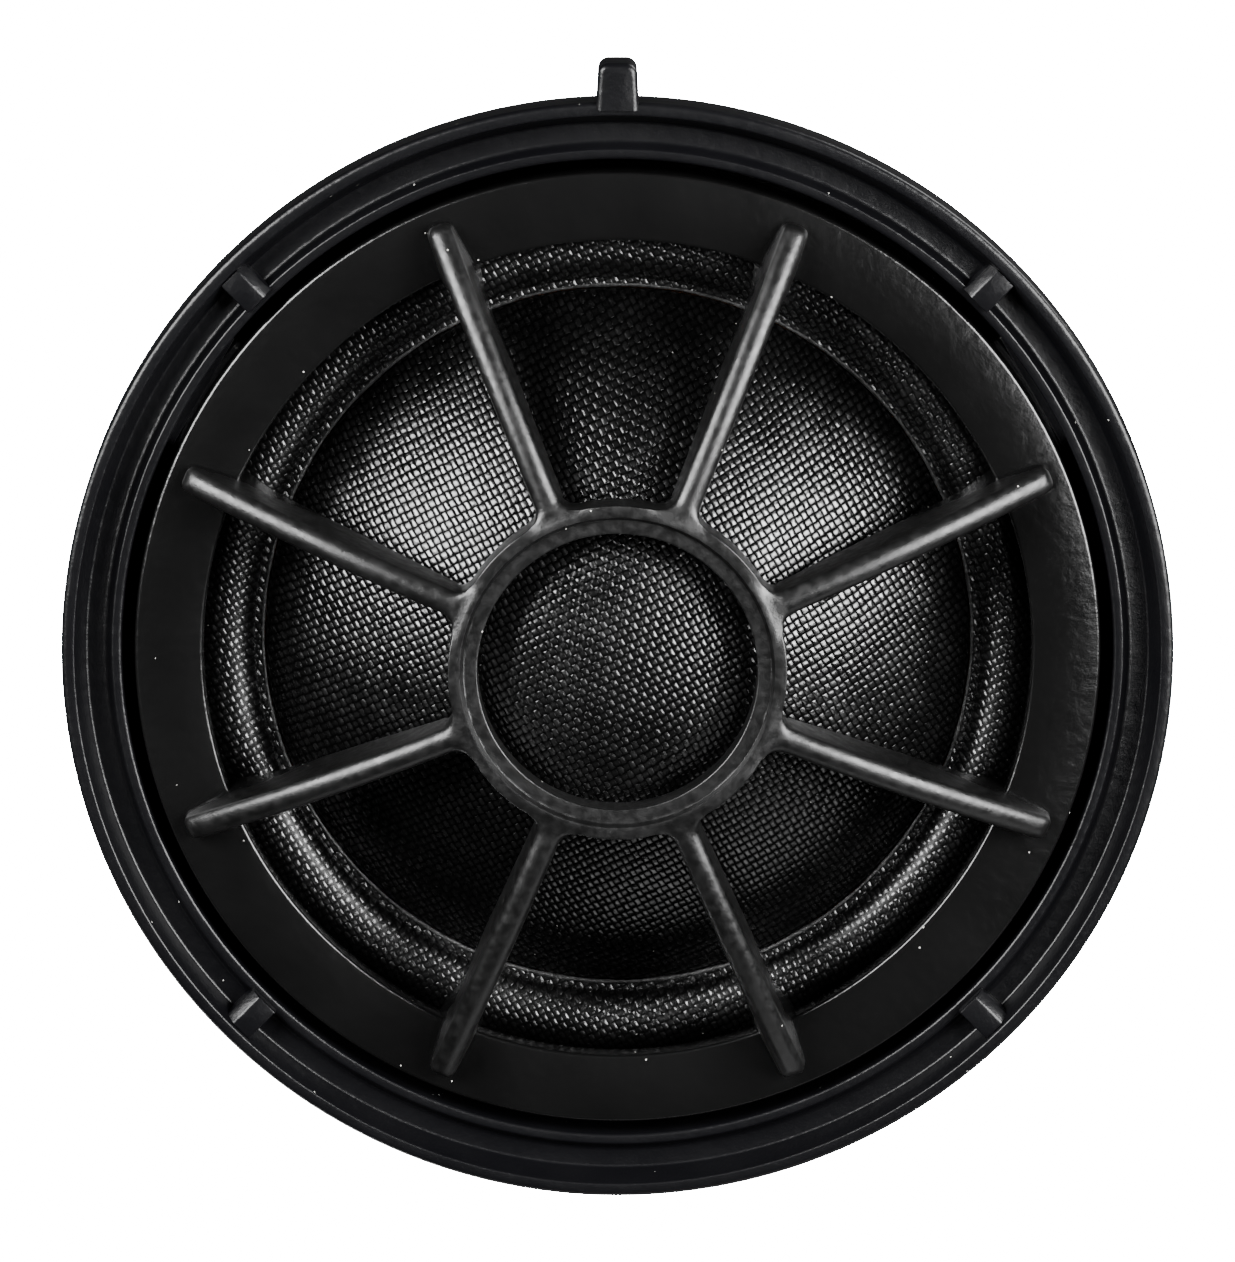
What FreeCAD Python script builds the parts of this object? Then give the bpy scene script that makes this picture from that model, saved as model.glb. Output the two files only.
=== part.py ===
"""A 1-inch soft-dome car tweeter in a snap-in panel ring, one STEP file per piece.

Frame, in millimetres: the origin is on the acoustic axis, in the plane where the ring's flange seats on
the panel. +Z points out of the front, and +Y points at the key tab on the rim.
"""
import FreeCAD, Part
import math
import os

from FreeCAD import Vector

# Driving dimensions, in millimetres and degrees.
AXIS = Vector(0, 0, 1)
ORIGIN = Vector(0, 0, 0)

# Panel ring
RIM_R = 20.0
RIM_TOP = 2.2
RIM_INNER_R = 19.53
CHANNEL_R = 19.17
CHANNEL_FLOOR = 1.05
LIP_R = 18.21
LIP_TOP = 1.44
RING_BORE_R = 17.86
BARREL_R = 18.5
BARREL_BOTTOM = -4.7
LEDGE_R = 16.7
LEDGE_TOP = -3.5
RIB_WIDTH = 1.15
RIB_TOP = 2.06
RIB_ANGLES = (45, 135, 225, 315)
CLIP_ANGLES = (30, 150, 270)
CLIP_WIDTH = 4.5
CLIP_TOP = -2.9
CLIP_BOTTOM = -4.1
TAB_TIP_R = 21.4
TAB_BASE_WIDTH = 1.55
TAB_TIP_WIDTH = 1.36
TAB_BOTTOM = 0.3
TAB_TOP = 2.3

# Faceplate with its guard, one moulding
PLATE_R = 17.4
PLATE_HOLE_R = 14.93
PLATE_TOP = 1.44
PLATE_UNDERSIDE = 0.2
SKIRT_INNER_R = 16.72
SEAT_INNER_R = 15.95
SURROUND_SEAT = -1.68
SPOKES = 8
SPOKE_START = 22.5
SPOKE_TIP_R = 16.82
SPOKE_TIP_TOP = 2.2
SPOKE_MID_R = 11.0
SPOKE_MID_TOP = 4.75
GUARD_TOP = 5.8
GUARD_BOTTOM = 4.2
GUARD_INNER_R = 5.0
GUARD_OUTER_R = 6.05
GUARD_STEP_R = 5.58
GUARD_STEP = 0.22
SPOKE_TOP_WIDTH = 0.92
SPOKE_ROOT_WIDTH = 1.12
WEB_RADIUS = 0.6

# Diaphragm
SEAM_R = 12.885
SEAM_Z = -1.8
DOME_R = 12.78
DOME_HEIGHT = 6.2
CLOTH = 0.12
ROLL_OUTER_R = 15.4
ROLL_HEIGHT = 1.0
LANDING_R = 16.6
BEAD_R = 0.1
CARRIER_INNER_R = 15.3
CARRIER_BOTTOM = -2.9

# Voice coil and motor
FORMER_INNER_R = 12.66
FORMER_WALL = 0.1
FORMER_BOTTOM = -5.5
COIL_WALL = 0.24
COIL_TOP = -3.1
COIL_BOTTOM = -5.3
POLE_PLATE_R = 12.44
POLE_PLATE_TOP = -3.2
POLE_PLATE_BOTTOM = -5.2
MAGNET_R = 11.9
MAGNET_BOTTOM = -8.8
YOKE_INNER_R = 13.2
YOKE_R = 15.2
YOKE_TOP = -3.2
YOKE_BOTTOM = -10.8
VENT_R = 2.5

# Chassis, terminals and rear chamber
CHASSIS_FLANGE_R = 16.65
CHASSIS_FLANGE_BOTTOM = -3.9
CHASSIS_BORE_R = 15.25
CHASSIS_R = 16.4
CHASSIS_BOTTOM = -11.4
YOKE_LEDGE_R = 13.6
SHELF_R = 17.55
RIVET_CIRCLE_R = 17.0
SHELF_THICKNESS = 0.75
SHELF_HALF_ANGLE = 32
TERMINAL_ANGLES = {"positive": 252.0, "negative": 288.0}
BLADE_WIDTH = 2.8
BLADE_SHEET = 0.5
BLADE_TOP = -8.05
BLADE_OUTER_R = 18.1
BLADE_TIP_Z = -14.9
DETENT_Z = -13.2
BLADE_FOOT_R = 15.45
FOOT_WIDTH = 1.2
DETENT_R = 0.6
RIVET_R = 0.3
RIVET_HEAD_R = 0.54
RIVET_HEAD = 0.22
SOLDER_R = 0.42
LEAD_R = 0.12
LEAD_Z = -2.6
LEAD_DOWN_R = 15.66
LEAD_BEND = 0.85
LEAD_SLOT_WIDTH = 1.3
SCREW_ANGLES = (30, 150, 270)
SCREW_CIRCLE_R = 16.6
BOSS_R = 1.35
BOSS_TOP = -6.6
SCREW_R = 0.6
SCREW_HEAD_R = 1.1
SCREW_HEAD = 0.75
SCREW_TIP = -8.6
CAP_BOTTOM = -15.2
CAP_R = 14.6
CAP_WALL = 1.0
CAP_FLANGE_R = 16.3
CAP_FLANGE = 0.9
FELT_THICKNESS = 1.6


def rounded_wire(corners):
    """A closed outline in the XZ plane from (x, z, corner radius) rows, with arcs at the rounded corners."""
    ends = []
    for i, (x, z, radius) in enumerate(corners):
        here = Vector(x, 0, z)
        before = Vector(corners[i - 1][0], 0, corners[i - 1][1])
        after = Vector(corners[(i + 1) % len(corners)][0], 0, corners[(i + 1) % len(corners)][1])
        if radius == 0:
            ends.append((here, None, here))
            continue
        back = (before - here).normalize()
        ahead = (after - here).normalize()
        half = back.getAngle(ahead) / 2
        run = radius / math.tan(half)
        inward = (back + ahead).normalize()
        middle = here + inward * (radius / math.sin(half) - radius)
        ends.append((here + back * run, middle, here + ahead * run))
    edges = []
    for i, (first, middle, last) in enumerate(ends):
        if middle is not None:
            edges.append(Part.Arc(first, middle, last).toShape())
        following = ends[(i + 1) % len(ends)][0]
        if (following - last).Length > 1e-6:
            edges.append(Part.LineSegment(last, following).toShape())
    return Part.Wire(edges)


def turned(corners):
    """A solid of revolution about the acoustic axis."""
    return Part.Face(rounded_wire(corners)).revolve(ORIGIN, AXIS, 360)


def disc(radius, bottom, top, hole=0.0):
    body = Part.makeCylinder(radius, top - bottom, Vector(0, 0, bottom), AXIS)
    if hole:
        body = body.cut(Part.makeCylinder(hole, top - bottom + 2, Vector(0, 0, bottom - 1), AXIS))
    return body


def block(low, high):
    return Part.makeBox(high[0] - low[0], high[1] - low[1], high[2] - low[2], Vector(*low))


def prism(points, height):
    """An upright prism over a list of (x, y) points, from z = points' own level upwards."""
    return Part.Face(Part.makePolygon([Vector(*p) for p in points + points[:1]])).extrude(Vector(0, 0, height))


def at_angle(shape, degrees):
    placed = shape.copy()
    placed.rotate(ORIGIN, AXIS, degrees)
    return placed


def direction(degrees):
    return Vector(math.cos(math.radians(degrees)), math.sin(math.radians(degrees)), 0)


# ---------------------------------------------------------------- panel ring
def key_tab():
    """The anti-rotation key: a tapered block on the rim, built along +X, with rounded tip and top."""
    root = RIM_R - 0.3
    half_root, half_tip = TAB_BASE_WIDTH / 2, TAB_TIP_WIDTH / 2
    outline = [
        (root, -half_root, TAB_BOTTOM),
        (TAB_TIP_R, -half_tip, TAB_BOTTOM),
        (TAB_TIP_R, half_tip, TAB_BOTTOM),
        (root, half_root, TAB_BOTTOM),
    ]
    tab = prism(outline, TAB_TOP - TAB_BOTTOM)
    upright = [e for e in tab.Edges if abs(e.tangentAt(e.FirstParameter).z) > 0.9]
    tip = [e for e in upright if e.CenterOfMass.x > RIM_R]
    tab = tab.makeFillet(0.35, tip)
    top = [e for e in tab.Edges if e.CenterOfMass.z > TAB_TOP - 0.01 and e.CenterOfMass.x > root + 0.01]
    return tab.makeFillet(0.22, top)


def channel_rib(uphill_side):
    """A small block across the ring's channel, along +X, with a slope on the side that faces the tab."""
    half = RIB_WIDTH / 2 * uphill_side
    section = [
        Vector(LIP_R - 0.12, half, CHANNEL_FLOOR - 0.3),
        Vector(LIP_R - 0.12, half, RIB_TOP - 0.4),
        Vector(LIP_R - 0.12, half * 0.45, RIB_TOP),
        Vector(LIP_R - 0.12, -half, RIB_TOP),
        Vector(LIP_R - 0.12, -half, CHANNEL_FLOOR - 0.3),
    ]
    face = Part.Face(Part.makePolygon(section + section[:1]))
    return face.extrude(Vector(CHANNEL_R + 0.3 - LIP_R + 0.12, 0, 0))


def clip_window():
    """One window in the barrel, along +X, that a spring finger of the panel latches into."""
    return block((RING_BORE_R - 0.5, -CLIP_WIDTH / 2, CLIP_BOTTOM), (BARREL_R + 1, CLIP_WIDTH / 2, CLIP_TOP))


def mounting_ring():
    ring = turned([
        (RING_BORE_R, LIP_TOP, 0.12),
        (LIP_R, LIP_TOP, 0.10),
        (LIP_R + 0.22, CHANNEL_FLOOR, 0.25),
        (CHANNEL_R, CHANNEL_FLOOR - 0.05, 0.12),
        (RIM_INNER_R, RIM_TOP, 0.08),
        (RIM_R, RIM_TOP, 0.2),
        (RIM_R, 0, 0.15),
        (BARREL_R, 0, 0),
        (BARREL_R, BARREL_BOTTOM, 0.3),
        (LEDGE_R, BARREL_BOTTOM, 0.15),
        (LEDGE_R, LEDGE_TOP, 0.15),
        (RING_BORE_R, LEDGE_TOP, 0),
    ])
    ring = ring.cut([at_angle(clip_window(), angle) for angle in CLIP_ANGLES])
    for angle in RIB_ANGLES:
        towards_tab = 1 if math.cos(math.radians(angle)) > 0 else -1
        ring = ring.fuse(at_angle(channel_rib(towards_tab), angle))
    return ring.fuse(at_angle(key_tab(), 90)).removeSplitter()


# ---------------------------------------------------------------- faceplate and guard
def spoke_side(drop=0.0, depth=12.0):
    """The side view of one spoke swept across its width: arched top edge, rising underside."""
    tip = Vector(SPOKE_TIP_R, 0, SPOKE_TIP_TOP - drop)
    middle = Vector(SPOKE_MID_R, 0, SPOKE_MID_TOP - drop)
    inner = Vector(GUARD_INNER_R + 0.45, 0, GUARD_TOP - GUARD_STEP - drop)
    below = [
        Vector(GUARD_INNER_R + 0.45, 0, GUARD_BOTTOM),
        Vector(GUARD_OUTER_R, 0, GUARD_BOTTOM),
        Vector(PLATE_HOLE_R - 0.6, 0, PLATE_UNDERSIDE),
        Vector(SPOKE_TIP_R, 0, PLATE_UNDERSIDE),
    ]
    edges = [Part.Arc(tip, middle, inner).toShape()]
    corners = [inner] + below + [tip]
    edges += [Part.LineSegment(a, b).toShape() for a, b in zip(corners, corners[1:])]
    side = Part.Face(Part.Wire(edges)).extrude(Vector(0, depth, 0))
    side.translate(Vector(0, -depth / 2, 0))
    return side


def tapered_bar():
    """A bar along +X whose flanks have moulding draft: narrow at the top, wider at the root."""
    top, root = SPOKE_TOP_WIDTH / 2, SPOKE_ROOT_WIDTH / 2
    section = [
        Vector(0, -root, PLATE_UNDERSIDE - 0.5),
        Vector(0, root, PLATE_UNDERSIDE - 0.5),
        Vector(0, top, GUARD_TOP + 1),
        Vector(0, -top, GUARD_TOP + 1),
    ]
    return Part.Face(Part.makePolygon(section + section[:1])).extrude(Vector(RIM_R, 0, 0))


def root_flare():
    """The widened foot of a spoke where it runs onto the faceplate."""
    def outline(level, tip, edge, inside):
        half = [(SPOKE_TIP_R - 0.08, tip), (PLATE_HOLE_R, edge), (PLATE_HOLE_R - 0.75, inside)]
        points = [Vector(x, y, level) for x, y in half] + [Vector(x, -y, level) for x, y in reversed(half)]
        return Part.makePolygon(points + points[:1])
    wide = outline(PLATE_UNDERSIDE, 0.52, 0.84, 0.5)
    narrow = outline(GUARD_BOTTOM - 1.2, 0.3, 0.42, 0.4)
    return Part.makeLoft([wide, narrow], True, True)


def spoke():
    bar = spoke_side().common(tapered_bar())
    crown = []
    for edge in bar.Edges:
        middle = edge.valueAt((edge.FirstParameter + edge.LastParameter) / 2)
        if abs(middle.y) > 0.3 and middle.z > SPOKE_TIP_TOP + 0.5 and edge.Length > 5:
            crown.append(edge)
    crown = [e for e in crown if e.BoundBox.ZMax > GUARD_BOTTOM and e.BoundBox.ZMin > 1.8]
    bar = bar.makeFillet(0.3, crown)
    foot = root_flare().common(spoke_side(drop=0.3))
    return bar.fuse(foot)


def guard_web(side):
    """The rounded inner corner between a spoke's flank and the guard ring, along +X."""
    half = SPOKE_TOP_WIDTH / 2 * side
    reach = half + WEB_RADIUS * side
    centre_x = math.sqrt((GUARD_OUTER_R + WEB_RADIUS) ** 2 - reach ** 2)
    centre = Vector(centre_x, reach, GUARD_BOTTOM + 0.1)
    on_spoke = Vector(centre_x, half, centre.z)
    scale = GUARD_OUTER_R / (GUARD_OUTER_R + WEB_RADIUS)
    on_ring = Vector(centre_x * scale, reach * scale, centre.z)
    towards = ((on_spoke + on_ring) * 0.5 - centre).normalize()
    inner = Vector(GUARD_OUTER_R - 0.4, half * 0.3, centre.z)
    wire = Part.Wire([
        Part.Arc(on_spoke, centre + towards * WEB_RADIUS, on_ring).toShape(),
        Part.LineSegment(on_ring, inner).toShape(),
        Part.LineSegment(inner, on_spoke).toShape(),
    ])
    return Part.Face(wire).extrude(Vector(0, 0, GUARD_TOP - GUARD_BOTTOM - 0.5))


def faceplate_guard():
    plate = turned([
        (PLATE_HOLE_R, PLATE_TOP, 0.12),
        (PLATE_R, PLATE_TOP, 0.45),
        (PLATE_R, LEDGE_TOP, 0.1),
        (SKIRT_INNER_R, LEDGE_TOP, 0.1),
        (SKIRT_INNER_R, SURROUND_SEAT, 0),
        (SEAT_INNER_R, SURROUND_SEAT, 0.1),
        (SEAT_INNER_R, PLATE_UNDERSIDE, 0.2),
        (PLATE_HOLE_R, PLATE_UNDERSIDE, 0.15),
    ])
    guard = turned([
        (GUARD_OUTER_R, GUARD_TOP, 0.3),
        (GUARD_OUTER_R, GUARD_BOTTOM, 0.15),
        (GUARD_INNER_R, GUARD_BOTTOM, 0.15),
        (GUARD_INNER_R, GUARD_TOP - GUARD_STEP, 0.25),
        (GUARD_STEP_R - 0.06, GUARD_TOP - GUARD_STEP, 0.03),
        (GUARD_STEP_R, GUARD_TOP, 0.05),
    ])
    arms = []
    for i in range(SPOKES):
        angle = SPOKE_START + i * 360 / SPOKES
        arms.append(at_angle(spoke(), angle))
        arms += [at_angle(guard_web(side), angle) for side in (-1, 1)]
    return plate.fuse([guard] + arms).removeSplitter()


# ---------------------------------------------------------------- diaphragm
def dome():
    """The soft cap: a shell between two spheres, open below where the coil former is glued."""
    radius = (DOME_R ** 2 + DOME_HEIGHT ** 2) / (2 * DOME_HEIGHT)
    centre = Vector(0, 0, SEAM_Z + DOME_HEIGHT - radius)
    shell = Part.makeSphere(radius, centre).cut(Part.makeSphere(radius - CLOTH, centre))
    above = Part.makeCylinder(2 * RIM_R, 2 * RIM_R, Vector(0, 0, SEAM_Z), AXIS)
    return shell.common(above)


def roll_arc(offset):
    """The half roll's section as an arc, offset outwards by the given distance."""
    inner = Vector(SEAM_R + 0.12 - offset, 0, SEAM_Z)
    outer = Vector(ROLL_OUTER_R + offset, 0, SEAM_Z)
    crest = Vector((SEAM_R + 0.12 + ROLL_OUTER_R) / 2, 0, SEAM_Z + ROLL_HEIGHT + offset)
    return inner, crest, outer


def surround():
    """The flexible half roll with its inner skirt on the coil and its flat outer landing."""
    low_in, low_top, low_out = roll_arc(-CLOTH)
    high_in, high_top, high_out = roll_arc(0)
    landing_top_in = high_out + Vector(0, 0, CLOTH)
    edges = [
        Part.Arc(low_in, low_top, low_out).toShape(),
        Part.LineSegment(low_out, Vector(LANDING_R, 0, SEAM_Z)).toShape(),
        Part.LineSegment(Vector(LANDING_R, 0, SEAM_Z), Vector(LANDING_R, 0, SEAM_Z + CLOTH)).toShape(),
        Part.LineSegment(Vector(LANDING_R, 0, SEAM_Z + CLOTH), landing_top_in).toShape(),
        Part.LineSegment(landing_top_in, high_out).toShape(),
        Part.Arc(high_out, high_top, high_in).toShape(),
        Part.LineSegment(high_in, low_in).toShape(),
    ]
    return Part.Face(Part.Wire(edges)).revolve(ORIGIN, AXIS, 360)


def seam_bead():
    """The fine bead of adhesive in the groove between dome and surround."""
    return Part.makeTorus(SEAM_R, BEAD_R, Vector(0, 0, SEAM_Z), AXIS)


def diaphragm_ring():
    return turned([
        (CARRIER_INNER_R, SEAM_Z, 0.1),
        (LANDING_R, SEAM_Z, 0),
        (LANDING_R, CARRIER_BOTTOM, 0),
        (CARRIER_INNER_R, CARRIER_BOTTOM, 0.1),
    ])


def coil_former():
    return disc(FORMER_INNER_R + FORMER_WALL, FORMER_BOTTOM, SEAM_Z - BEAD_R, hole=FORMER_INNER_R)


def voice_coil():
    inner = FORMER_INNER_R + FORMER_WALL
    return disc(inner + COIL_WALL, COIL_BOTTOM, COIL_TOP, hole=inner)


# ---------------------------------------------------------------- motor
def pole_plate():
    return disc(POLE_PLATE_R, POLE_PLATE_BOTTOM, POLE_PLATE_TOP, hole=VENT_R)


def neodymium_magnet():
    return disc(MAGNET_R, MAGNET_BOTTOM, POLE_PLATE_BOTTOM, hole=VENT_R)


def yoke_cup():
    return turned([
        (YOKE_INNER_R, YOKE_TOP, 0.15),
        (YOKE_R, YOKE_TOP, 0.2),
        (YOKE_R, YOKE_BOTTOM, 0.5),
        (VENT_R, YOKE_BOTTOM, 0.1),
        (VENT_R, MAGNET_BOTTOM, 0),
        (YOKE_INNER_R, MAGNET_BOTTOM, 0.4),
    ])


def damping_pad():
    """A felt washer on the pole plate that takes the resonance out of the air under the dome."""
    return disc(POLE_PLATE_R - 1.2, POLE_PLATE_TOP, POLE_PLATE_TOP + 1.5, hole=VENT_R)


# ---------------------------------------------------------------- chassis, terminals, leads
def chassis():
    """The moulded body that holds the yoke, with screw bosses, a terminal shelf and two lead slots."""
    frame = turned([
        (CHASSIS_BORE_R, CARRIER_BOTTOM, 0),
        (CHASSIS_FLANGE_R, CARRIER_BOTTOM, 0),
        (CHASSIS_FLANGE_R, CHASSIS_FLANGE_BOTTOM, 0.1),
        (CHASSIS_R, CHASSIS_FLANGE_BOTTOM, 0),
        (CHASSIS_R, CHASSIS_BOTTOM, 0.2),
        (YOKE_LEDGE_R, CHASSIS_BOTTOM, 0.1),
        (YOKE_LEDGE_R, YOKE_BOTTOM, 0.1),
        (CHASSIS_BORE_R, YOKE_BOTTOM, 0),
    ])
    bore = disc(CHASSIS_BORE_R, YOKE_BOTTOM, CARRIER_BOTTOM)
    for angle in SCREW_ANGLES:
        centre = direction(angle) * SCREW_CIRCLE_R + Vector(0, 0, CHASSIS_BOTTOM)
        boss = Part.makeCylinder(BOSS_R, BOSS_TOP - CHASSIS_BOTTOM, centre, AXIS)
        pilot = Part.makeCylinder(SCREW_R + 0.02, SCREW_TIP + 0.3 - CHASSIS_BOTTOM, centre, AXIS)
        frame = frame.fuse(boss.cut(bore)).cut(pilot)
    shelf_top = BLADE_TOP - BLADE_SHEET
    shelf = Part.makeCylinder(SHELF_R, SHELF_THICKNESS, Vector(0, 0, shelf_top - SHELF_THICKNESS), AXIS,
                              2 * SHELF_HALF_ANGLE)
    shelf = at_angle(shelf, 270 - SHELF_HALF_ANGLE).cut(disc(CHASSIS_BORE_R + 0.5, -12, 0))
    pilot = Part.makeCylinder(SCREW_R + 0.02, 3.1, direction(270) * SCREW_CIRCLE_R
                              + Vector(0, 0, CHASSIS_BOTTOM), AXIS)
    frame = frame.fuse(shelf.cut(pilot))
    for angle in TERMINAL_ANGLES.values():
        slot = block((CHASSIS_BORE_R - 0.5, -LEAD_SLOT_WIDTH / 2, shelf_top),
                     (CHASSIS_R + 0.4, LEAD_SLOT_WIDTH / 2, BLADE_TOP + 0.01))
        groove = block((CHASSIS_BORE_R - 0.5, -LEAD_SLOT_WIDTH / 2, shelf_top),
                       (LEAD_DOWN_R + 0.42, LEAD_SLOT_WIDTH / 2, 0))
        eyelet = Part.makeCylinder(RIVET_R, 3, Vector(RIVET_CIRCLE_R, 0, shelf_top - 2), AXIS)
        frame = frame.cut([at_angle(slot, angle), at_angle(groove, angle), at_angle(eyelet, angle)])
    return frame.removeSplitter()


def terminal(angle):
    """A push-on blade: a narrow foot inside the wall, a shoulder on the shelf, and a blade that points back."""
    half, foot = BLADE_WIDTH / 2, FOOT_WIDTH / 2
    shoulder = CHASSIS_R + 0.05
    low = BLADE_TOP - BLADE_SHEET
    strip = block((BLADE_FOOT_R, -foot, low), (shoulder, foot, BLADE_TOP))
    saddle = block((shoulder, -half, low), (BLADE_OUTER_R, half, BLADE_TOP))
    inside = BLADE_OUTER_R - BLADE_SHEET
    outline = [
        Vector(inside, -half, low), Vector(inside, half, low), Vector(inside, half, BLADE_TIP_Z + 0.6),
        Vector(inside, half - 0.45, BLADE_TIP_Z), Vector(inside, 0.45 - half, BLADE_TIP_Z),
        Vector(inside, -half, BLADE_TIP_Z + 0.6),
    ]
    blade = Part.Face(Part.makePolygon(outline + outline[:1])).extrude(Vector(BLADE_SHEET, 0, 0))
    detent = Part.makeCylinder(DETENT_R, 3, Vector(inside - 1, 0, DETENT_Z), Vector(1, 0, 0))
    rivet = Part.makeCylinder(RIVET_R, 2, Vector(RIVET_CIRCLE_R, 0, low - 1), AXIS)
    return at_angle(strip.fuse([saddle, blade]).cut([detent, rivet]).removeSplitter(), angle)


def terminal_rivets():
    """Two hollow eyelets that clamp the blades to the shelf."""
    low = BLADE_TOP - BLADE_SHEET - SHELF_THICKNESS
    rivets = []
    for angle in TERMINAL_ANGLES.values():
        foot = Vector(RIVET_CIRCLE_R, 0, low - RIVET_HEAD)
        height = BLADE_TOP - low + 2 * RIVET_HEAD
        barrel = Part.makeCylinder(RIVET_R, height, foot, AXIS)
        heads = [Part.makeCylinder(RIVET_HEAD_R, RIVET_HEAD, foot, AXIS),
                 Part.makeCylinder(RIVET_HEAD_R, RIVET_HEAD, Vector(foot.x, 0, BLADE_TOP), AXIS)]
        hole = Part.makeCylinder(RIVET_R - 0.12, height + 1, foot - AXIS * 0.5, AXIS)
        rivets.append(at_angle(barrel.fuse(heads).cut(hole), angle))
    return Part.makeCompound(rivets)


def lead_wire(angle):
    """The fine flexible lead: out from the coil under the roll, round a bend, down to the blade's foot."""
    start = Vector(FORMER_INNER_R + FORMER_WALL + COIL_WALL / 2 + LEAD_R, 0, LEAD_Z)
    bend_start = Vector(LEAD_DOWN_R - LEAD_BEND, 0, LEAD_Z)
    corner = LEAD_BEND * (1 - math.sqrt(0.5))
    bend_middle = Vector(LEAD_DOWN_R - corner, 0, LEAD_Z - corner)
    bend_end = Vector(LEAD_DOWN_R, 0, LEAD_Z - LEAD_BEND)
    path = Part.Wire([
        Part.LineSegment(start, bend_start).toShape(),
        Part.Arc(bend_start, bend_middle, bend_end).toShape(),
        Part.LineSegment(bend_end, Vector(LEAD_DOWN_R, 0, BLADE_TOP)).toShape(),
    ])
    section = Part.Wire([Part.makeCircle(LEAD_R, start, Vector(1, 0, 0))])
    return at_angle(path.makePipeShell([section], True, False), angle)


def solder_joints():
    joints = []
    for angle in TERMINAL_ANGLES.values():
        foot = Vector(LEAD_DOWN_R, 0, BLADE_TOP)
        bead = Part.makeSphere(SOLDER_R, foot).common(block((0, -1, BLADE_TOP), (RIM_R, 1, 0)))
        wire = Part.makeCylinder(LEAD_R, 1, foot, AXIS)
        joints.append(at_angle(bead.cut(wire), angle))
    return Part.makeCompound(joints)


# ---------------------------------------------------------------- rear chamber
def rear_chamber():
    """The closed cup behind the motor, with three screw ears."""
    floor = CAP_BOTTOM + CAP_WALL
    inner = CAP_R - CAP_WALL
    cup = turned([
        (inner, CHASSIS_BOTTOM, 0),
        (CAP_FLANGE_R, CHASSIS_BOTTOM, 0.1),
        (CAP_FLANGE_R, CHASSIS_BOTTOM - CAP_FLANGE, 0.2),
        (CAP_R, CHASSIS_BOTTOM - CAP_FLANGE, 0.3),
        (CAP_R, CAP_BOTTOM, 0.8),
        (0, CAP_BOTTOM, 0),
        (0, floor, 0),
        (inner, floor, 0.5),
    ])
    inside = disc(CAP_R - 0.2, CAP_BOTTOM, CHASSIS_BOTTOM + 1)
    for angle in SCREW_ANGLES:
        low = direction(angle) * SCREW_CIRCLE_R + Vector(0, 0, CHASSIS_BOTTOM - CAP_FLANGE)
        ear = Part.makeCylinder(BOSS_R, CAP_FLANGE, low, AXIS).cut(inside)
        hole = Part.makeCylinder(SCREW_R + 0.05, 3, low - AXIS, AXIS)
        cup = cup.fuse(ear).cut(hole)
    return cup.removeSplitter()


def chamber_screws():
    """Three thread-forming screws with cross recesses."""
    screws = []
    seat = CHASSIS_BOTTOM - CAP_FLANGE
    for angle in SCREW_ANGLES:
        centre = direction(angle) * SCREW_CIRCLE_R
        shank = Part.makeCylinder(SCREW_R, SCREW_TIP - seat, centre + AXIS * seat, AXIS)
        head = Part.makeCylinder(SCREW_HEAD_R, SCREW_HEAD, centre + AXIS * (seat - SCREW_HEAD), AXIS)
        rim = [e for e in head.Edges if e.CenterOfMass.z < seat - SCREW_HEAD + 0.01 and e.Length > 3]
        head = head.makeFillet(0.25, rim)
        for width, depth in ((1.2, 0.28), (0.28, 1.2)):
            arm = block((-width / 2, -depth / 2, seat - SCREW_HEAD - 0.1),
                        (width / 2, depth / 2, seat - SCREW_HEAD + 0.4))
            arm.translate(centre)
            head = head.cut(arm)
        screws.append(shank.fuse(head))
    return Part.makeCompound(screws)


def chamber_felt():
    floor = CAP_BOTTOM + CAP_WALL
    return disc(CAP_R - CAP_WALL - 0.5, floor, floor + FELT_THICKNESS)


def diaphragm_ring_with_slots():
    ring = diaphragm_ring()
    for angle in TERMINAL_ANGLES.values():
        slot = block((CARRIER_INNER_R - 0.5, -LEAD_SLOT_WIDTH / 2, CARRIER_BOTTOM - 0.1),
                     (LEAD_DOWN_R + 0.42, LEAD_SLOT_WIDTH / 2, LEAD_Z + 0.3))
        ring = ring.cut(at_angle(slot, angle))
    return ring


def main():
    os.makedirs("parts", exist_ok=True)
    pieces = {
        "mounting_ring": mounting_ring(),
        "faceplate_guard": faceplate_guard(),
        "dome": dome(),
        "surround": surround(),
        "seam_bead": seam_bead(),
        "diaphragm_ring": diaphragm_ring_with_slots(),
        "coil_former": coil_former(),
        "voice_coil": voice_coil(),
        "pole_plate": pole_plate(),
        "neodymium_magnet": neodymium_magnet(),
        "yoke_cup": yoke_cup(),
        "damping_pad": damping_pad(),
        "chassis": chassis(),
        "terminal_rivets": terminal_rivets(),
        "solder_joints": solder_joints(),
        "rear_chamber": rear_chamber(),
        "chamber_felt": chamber_felt(),
        "chamber_screws": chamber_screws(),
    }
    for polarity, angle in TERMINAL_ANGLES.items():
        pieces["terminal_" + polarity] = terminal(angle)
        pieces["lead_wire_" + polarity] = lead_wire(angle)
    for name, shape in pieces.items():
        shape.exportStep("parts/" + name + ".step")
        valid = shape.isValid() and len(shape.Solids) > 0
        print(f"{name}: {len(shape.Solids)} solid(s), {shape.Volume:.2f} mm3, {'valid' if valid else 'INVALID'}")


main()
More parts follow.
